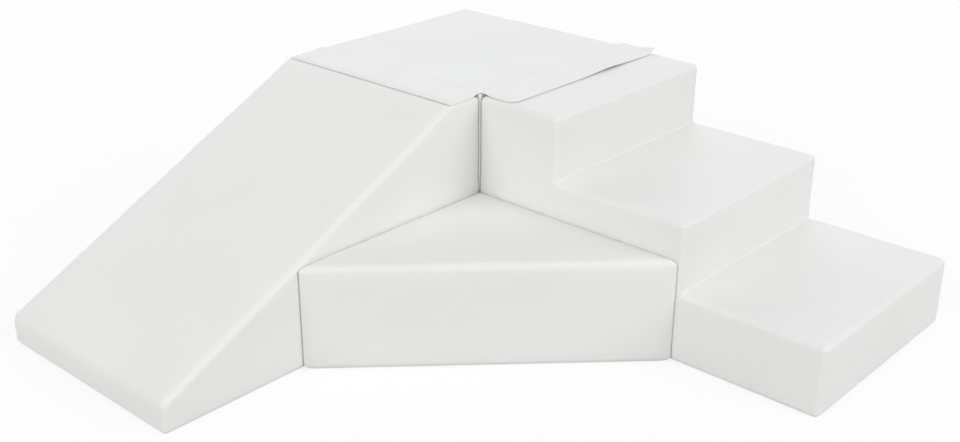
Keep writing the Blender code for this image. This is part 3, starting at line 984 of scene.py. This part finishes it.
def flap_heights(points, flap, low_z, high_z, skin, seed):
    """How high a flap's points lie: hems that turn down to the skin, crease and waves."""
    out, along = flap_place(points, flap)
    middle = (low_z + high_z) / 2
    to_end = np.minimum(along - flap.near, flap.far - along)
    border = np.minimum(flap.reach - out, to_end)
    outer = 1 - ramp(flap.reach - out, 0, HEM_BAND)
    ends = 1 - ramp(to_end, 0, END_BAND)
    fall = np.clip(low_z - HEM_GAP - heights_under(points, skin, high_z), 0, HEM_REACH)
    drop = fall * np.maximum(outer, ends) * ramp(out, *FALL_START)
    taper = 1 - (1 - BINDING_END / (high_z - low_z)) * ramp(-out, BINDING_FLAT, flap.inner)
    thin = 1 - HEM_THIN * (1 - ramp(border, 0, HEM_EDGE))
    heights = low_z + (points[:, 2] - low_z) * taper
    heights = middle + (heights - middle) * thin
    top = np.where(points[:, 2] > middle, 1, -1)
    heights -= top * HEM_DIP * hump(border - HEM_STITCH, HEM_DIP_WIDTH) * (out > 0)
    fold = CREASE * hump(out, CREASE_WIDTH) * (top > 0)
    heights += fold if flap.loose else -fold
    slack = (1 + waves(points, FLAP_WAVE_LENGTHS, FINE_WAVE_COUNT, seed)) / 2
    flat = ramp(out, *FLAP_WAVE_START) * ramp(border, 0, FLAP_WAVE_BORDER)
    return heights + FLAP_WAVE * slack * flat + flap_rise(points, flap) - drop


def make_flap(owner, loose, across, along, radii, skin, seed):
    """A flap with the binding that sews it to the platform: one doubled sheet, creased at the fold between
    them.
    """
    name = f"{owner}_flap"
    low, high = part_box(name)
    bind_low, bind_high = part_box(f"{name}_seam_binding")
    fold, inner = bind_low.dot(across), bind_high.dot(across)
    near, far = low.dot(along), high.dot(along)
    flap = Flap(fold, fold - low.dot(across), near, far, inner - fold, loose, across, along)
    outline = rounded_rectangle(low, across * inner + along * far, radii)
    bm = rounded_prism(outline, low.z, high.z, (X, Y, Z), HEM_ROUND)
    dice(bm, FLAP_CELL, (X, Y))
    for offset in FOLD_CUTS:
        cut(bm, list(bm.faces), across * (fold + offset), across)
    sheet = as_object(f"{name}_sheet", bm)
    points, _ = coordinates(sheet.data)
    points[:, 2] = flap_heights(points, flap, low.z, high.z, skin, seed)
    move_points(sheet.data, points)
    paint(sheet, LEATHER)
    out, near, far = flap.reach - HEM_STITCH, near + HEM_STITCH, far - HEM_STITCH
    corners = [(-HEM_TURN, near), (out, near), (out, far), (-HEM_TURN, far)]
    lines = [*zip(corners, corners[1:])]
    for inset in (-FOLD_STITCH, FOLD_STITCH - flap.inner):
        lines.append(((inset, near), (inset, far)))
    rows = []
    for line in lines:
        ends = [across * (fold - u) + along * v + Z * high.z for u, v in line]
        rows.append((*ends, Z, Vector()))
    seams = stitching(f"{name}_stitching", sheet, rows)
    for piece in (sheet, seams):
        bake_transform(piece)
    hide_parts(name, f"{name}_seam_binding")
    return flap


make_flap("slide", 0, X, Y, (SHARP_CORNER, FLAP_CORNER, FLAP_CORNER, SHARP_CORNER), SLIDE_SKIN, 51)
STAIR_FLAP = make_flap(
    "stair", 1, Y, X, (SHARP_CORNER, SHARP_CORNER, CURVED_CORNER, FLAP_CORNER), STAIR_SKIN, 52
)


# Hook and loop strips

HOOK_FORM = tube_form(
    [(X * lean * HOOK_LENGTH + Z * level, size) for lean, level, size in HOOK_RINGS],
    X * HOOK_LENGTH / 2, Y * HOOK_SIZE / 2, 3,
)


def make_strip(node, body, facing, rise=None):
    """A hook or loop strip: a woven ground with its nap."""
    hooks = "hook" in node
    low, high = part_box(node)
    axes = [axis for axis in (X, Y, Z) if not axis.dot(facing)]
    spans = [(low.dot(axis), high.dot(axis)) for axis in axes]
    back, front = sorted((low.dot(facing), high.dot(facing)))
    ground, nap_top = back + TAPE_GROUND, front - NAP_CLEARANCE
    outline = rounded_rectangle(*zip(*spans), (TAPE_ROUND,) * 4)
    bm = prism(outline, back + TAPE_SEAT, ground, (*axes, facing))
    dice(bm, HOOK_CELL if hooks else LOOP_CELL, axes)
    strip = as_object(f"{node}_tape", bm)
    points, _ = coordinates(strip.data)
    if not hooks:
        border = np.full(len(points), np.inf)
        for axis, (first, last) in zip(axes, spans):
            place = points @ np.array(axis)
            border = np.minimum(border, np.minimum(place - first, last - place))
        random = np.random.default_rng(len(node))
        fuzz = random.uniform(*FUZZ, len(points)) * ramp(border, *FUZZ_BORDER)
        upper = points @ np.array(facing) > back + TAPE_GROUND / 2
        points += (upper * fuzz * (nap_top - ground))[:, None] * np.array(facing)
    if rise:
        points[:, 2] += rise(points)
    move_points(strip.data, points)
    paint(strip, HOOK_TAPE if hooks else LOOP_TAPE, smooth=not hooks)
    finish(strip, body, "hook_tape" if hooks else "loop_tape", node)
    if hooks:
        make_hooks(f"{node}_hooks", body, axes, facing, spans, ground, nap_top, rise)


def make_hooks(name, body, axes, side, spans, foot, top, rise):
    """The field of hooks on a strip."""
    points, faces = HOOK_FORM
    form = points * np.array((1, 1, (top - foot) / HOOK_TOP)), faces
    random = np.random.default_rng(len(name))
    places = []
    rows, columns = (int((last - first - 2 * HOOK_MARGIN) / HOOK_STEP) for first, last in spans)
    for row in range(rows):
        for column in range(columns):
            turn = random.normal(0, HOOK_TWIST) + (math.pi if row % 2 else 0)
            lean = axes[1] * math.cos(turn) + axes[0] * math.sin(turn)
            point = side * (foot - TAPE_SEAT)
            point += axes[0] * (spans[0][0] + HOOK_MARGIN + (row + 0.5) * HOOK_STEP)
            point += axes[1] * (spans[1][0] + HOOK_MARGIN + (column + 0.5 * (row % 2)) * HOOK_STEP)
            if rise:
                point.z += rise(np.array([point]))[0]
            places.append((point, [lean, side.cross(lean), side]))
    finish(repeated(name, form, places, NYLON, smooth=False), body, "hook_tape")


make_strip("slide_flap_hook_strip", "slide_flap", -Z)
make_strip("stair_flap_hook_strip", "stair_flap", -Z, lambda points: flap_rise(points, STAIR_FLAP))
make_strip("slide_top_loop_strip", "slide_block", Z)
make_strip("stair_top_loop_strip", "stair_block", Z)
make_strip("slide_side_loop_strip", "slide_block", -Y)
make_strip("stair_side_loop_strip", "stair_block", -X)
make_strip("corner_hook_strip_slide_side", "corner_step", Y)
make_strip("corner_hook_strip_stair_side", "corner_step", X)


# Foam cores and base panels

def make_core(name, bm, body, faces, seed):
    """A block of foam, with cut faces that are faintly uneven, inside its cover."""
    dice(bm, CORE_CELL)
    core = as_object(f"{name}_block", bm)
    points, normals = coordinates(core.data)
    uneven = CORE_WAVE * (waves(points, CORE_WAVE_LENGTHS, FINE_WAVE_COUNT, seed) - 1)
    move_points(core.data, points + swell_faces(points, faces) * CORE_SHARE + normals * uneven[:, None])
    paint(core, FOAM)
    finish(core, body, "foam", name)


for owner, block in (("platform", PLATFORM), ("slide", SLIDE), ("corner", CORNER)):
    skin = COVER + CORE_SLACK
    bm, _ = rounded_block(block, skin, CORE_SEGMENTS)
    make_core(f"{owner}_foam_core", bm, BODIES[owner], block_faces(block, skin), block.seed)
for seed, layer in enumerate(("lower", "middle", "upper")):
    low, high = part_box(f"stair_foam_{layer}")
    slack = Vector((SLAB_SLACK, SLAB_SLACK, 0))
    outline = rectangle(low + slack, high - slack)
    bm = rounded_prism(outline, low.z, high.z - CORE_SLACK, (X, Y, Z), EDGE_ROUND, CORE_SEGMENTS)
    make_core(f"stair_foam_{layer}", bm, "stair_block", [], seed)

DOT_FORM = tube_form(
    [(Z * level, size) for size, level in DOT_RINGS], X * DOT_SIZE, Y * DOT_SIZE, 8, flip=True
)


def make_base(owner, body):
    """The base cloth under a block, with rubber dots that grip the floor."""
    node = f"{owner}_base_panel"
    low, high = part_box(node)
    outline = rectangle(low, high)
    if owner == "corner":
        outline = [(high.x, high.y), (low.x, high.y), (high.x, low.y)]
    under = high.z - PANEL_THICKNESS
    bm = prism(outline, under, high.z, (X, Y, Z))
    dice(bm, PANEL_CELL, (X, Y))
    panel = paint(as_object(f"{node}_cloth", bm), CLOTH, smooth=False)
    points, faces = DOT_FORM
    edges = [(Vector(a), Vector(b)) for a, b in zip(outline, outline[1:] + outline[:1])]
    places = []
    for row in range(int((high.y - low.y) / DOT_STEP)):
        for column in range(int((high.x - low.x) / DOT_STEP)):
            x = low.x + (column + 0.5 + 0.5 * (row % 2)) * DOT_STEP
            spot = Vector((x, low.y + (row + 0.5) * DOT_STEP))
            if min((b - a).normalized().cross(spot - a) for a, b in edges) > DOT_ROOM:
                places.append(((spot.x, spot.y, 0), np.eye(3)))
    form = points * np.array((1, 1, under)), faces
    dots = repeated(f"{node}_grip_dots", form, places, RUBBER)
    finish(panel, body, "base_cloth", node)
    finish(dots, body, "base_cloth")


# Zips

TOOTH_FORM = tube_form(
    [(Y * place * TOOTH_LENGTH, size) for place, size in TOOTH_RINGS], X * TOOTH_RADIUS, Z * TOOTH_RADIUS, 6
)


def make_zip(owner, body, outward):
    """A zip's two tapes with their coil."""
    low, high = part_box(f"{owner}_zip_chain")
    along = X if outward == Y else Y
    face = high.dot(outward) - ZIP_PROUD
    first, last = low.dot(along), high.dot(along)
    centre = (low.z + high.z) / 2
    back, front = low.dot(outward), face - TAPE_DEPTH
    tapes = [
        prism(rectangle((first, bottom), (last, top)), back, front, (along, Z, outward))
        for bottom, top in ((low.z, centre - TAPE_GAP), (centre + TAPE_GAP, high.z))
    ]
    tape = paint(as_object(f"{owner}_zip_tapes", joined(tapes)), ZIP_TAPE, smooth=False)
    places = []
    for number in range(int((last - first - 2 * TOOTH_MARGIN) / TOOTH_STEP)):
        offset = TOOTH_OFFSET if number % 2 else -TOOTH_OFFSET
        point = along * (first + TOOTH_MARGIN + (number + 0.5) * TOOTH_STEP)
        point += Z * (centre + offset) + outward * (face + TOOTH_RISE)
        places.append((point, [along, Z, outward]))
    teeth = repeated(f"{owner}_zip_teeth", TOOTH_FORM, places, NYLON)
    finish(tape, body, "zip_tape", f"{owner}_zip_chain")
    finish(teeth, body, "zip_tape")
    make_slider(owner, outward, along)


def make_slider(owner, outward, along):
    """A zip's slider: a tapered body over the coil, a bridge and a hanging pull."""
    low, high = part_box(f"{owner}_zip_slider")
    axes = (along, Z, outward)
    first, last = low.dot(along), high.dot(along)
    face, front = low.dot(outward), high.dot(outward)
    centre, middle = (low.z + high.z) / 2, (first + last) / 2
    wide, narrow = (high.z - low.z) / 2, (high.z - low.z) * SLIDER_NARROW
    shape = [(first, centre - narrow), (middle, centre - wide), (last, centre - wide),
             (last, centre + wide), (middle, centre + wide), (first, centre + narrow)]
    bars = [rounded_prism(shape, front - SLIDER_PLATE, front, axes, SLIDER_ROUND)]
    for bottom, top in ((low.z, low.z + SLIDER_WALL), (high.z - SLIDER_WALL, high.z)):
        wall = rectangle((middle, bottom), (last, top))
        bars.append(rounded_prism(wall, face, front - WALL_SINK, axes, WALL_ROUND))
    start, end = first + BRIDGE_INSETS[0], last - BRIDGE_INSETS[1]
    bridge = rectangle((start, centre - BRIDGE_HALF), (end, centre + BRIDGE_HALF))
    levels = [front + level for level in BRIDGE_LEVELS]
    bars.append(rounded_prism(bridge, *levels, axes, BRIDGE_ROUND))
    foot, head = (middle - PULL_HALF, centre - PULL_LENGTH), (middle + PULL_HALF, centre + PULL_TOP)
    pull = rounded_rectangle(foot, head, (PULL_CORNER,) * 4)
    level = front + PULL_RISE
    bars.append(rounded_prism(pull, level, level + PULL_THICKNESS, axes, PULL_ROUND, 2))
    slider = paint(as_object(f"{owner}_zip_slider_and_pull", joined(bars)), METAL)
    finish(slider, f"{owner}_slider", "zip_slider", f"{owner}_zip_slider")


for owner, body in BODIES.items():
    make_base(owner, body)
for owner, body in BODIES.items():
    make_zip(owner, body, ZIP_FACES[owner])


# Stage, light and camera

FLOOR_SIZE = 40.0
FLOOR_SHADE = 0.18
FLOOR_COLOUR = (0.65, 0.65, 0.65)
WORLD_LIGHT = 0.455
LAMP_ANGLE = 44
CAMERA_PLACE = (-2.0042, -1.7875, 1.4804)
CAMERA_TARGET = (0.1428, 0.1448, 0.2000)
CAMERA_ROLL = 0.25
CAMERA_LENS = 47.68


def seen_plainly(tree):
    """1 for what the camera sees by itself, in something glossy or through something clear, else 0."""
    path = add_node(tree, "LightPath", {})
    seen = path["Is Camera Ray"]
    for kind in ("Is Glossy Ray", "Is Transmission Ray"):
        seen = add_node(tree, "Math", {0: seen, 1: path[kind]}, operation="MAXIMUM")[0]
    return seen


def make_floor():
    """A plain pale floor that looks white to the camera but for part of the object's shadow."""
    bm = bmesh.new()
    bmesh.ops.create_grid(bm, x_segments=1, y_segments=1, size=FLOOR_SIZE / 2)
    floor = as_object("floor", bm)
    pale = Surface("floor", FLOOR_COLOUR, 0.9, 0.1)
    seen = seen_plainly(pale.tree)
    pale.tone(seen, FLOOR_COLOUR, (1, 1, 1))
    share = pale.add("Math", {0: seen, 1: 1 - FLOOR_SHADE}, operation="MULTIPLY")[0]
    glow = pale.add("Emission", {})[0]
    mixed = pale.add("MixShader", {0: share, 1: pale.shader.outputs[0], 2: glow})[0]
    fill(pale.tree, pale.tree.nodes["Material Output"].inputs["Surface"], mixed)
    paint(floor, pale, smooth=False)
    floor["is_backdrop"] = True


def make_world():
    """Even studio light from all round, with white behind the object."""
    world = bpy.data.worlds.new("studio")
    bpy.context.scene.world = world
    world.use_nodes = True
    tree = world.node_tree
    level = add_node(tree, "MapRange", {"To Min": WORLD_LIGHT, "To Max": 1.0, "Value": seen_plainly(tree)})
    background = tree.nodes["Background"].inputs
    fill(tree, background["Strength"], level["Result"])
    fill(tree, background["Color"], (1, 1, 1, 1))


def sun_lamp(name, towards, power, colour):
    """A broad soft light from one direction. Only the world shines on what is smooth."""
    light = bpy.data.lights.new(name, "SUN")
    light.angle = math.radians(LAMP_ANGLE)
    light.energy = power
    light.color = colour
    lamp = in_scene(name, light)
    lamp.rotation_euler = Vector(towards).to_track_quat("Z", "Y").to_euler()
    lamp.visible_glossy = False


def make_camera():
    """The photograph's viewpoint."""
    camera = in_scene("camera", bpy.data.cameras.new("camera"))
    camera.data.lens = CAMERA_LENS
    camera.location = CAMERA_PLACE
    view = (Vector(CAMERA_TARGET) - Vector(CAMERA_PLACE)).to_track_quat("-Z", "Y").to_matrix()
    roll = Matrix.Rotation(math.radians(CAMERA_ROLL), 3, "Z")
    camera.rotation_euler = (view @ roll).to_euler()
    bpy.context.scene.camera = camera


make_floor()
make_world()
sun_lamp("left", (-1, 0, 0.5), 1.12, (1, 1, 0.935))
sun_lamp("right", (0.32, -1, 0.65), 1.23, (1, 1, 0.965))
sun_lamp("overhead", (0, 0, 1), 0.14, (0.72, 0.85, 1))
sun_lamp("back", (1, 1, 0.35), 1.05, (0.84, 0.91, 1))
make_camera()
bpy.context.scene.view_settings.view_transform = "Standard"

low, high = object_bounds()
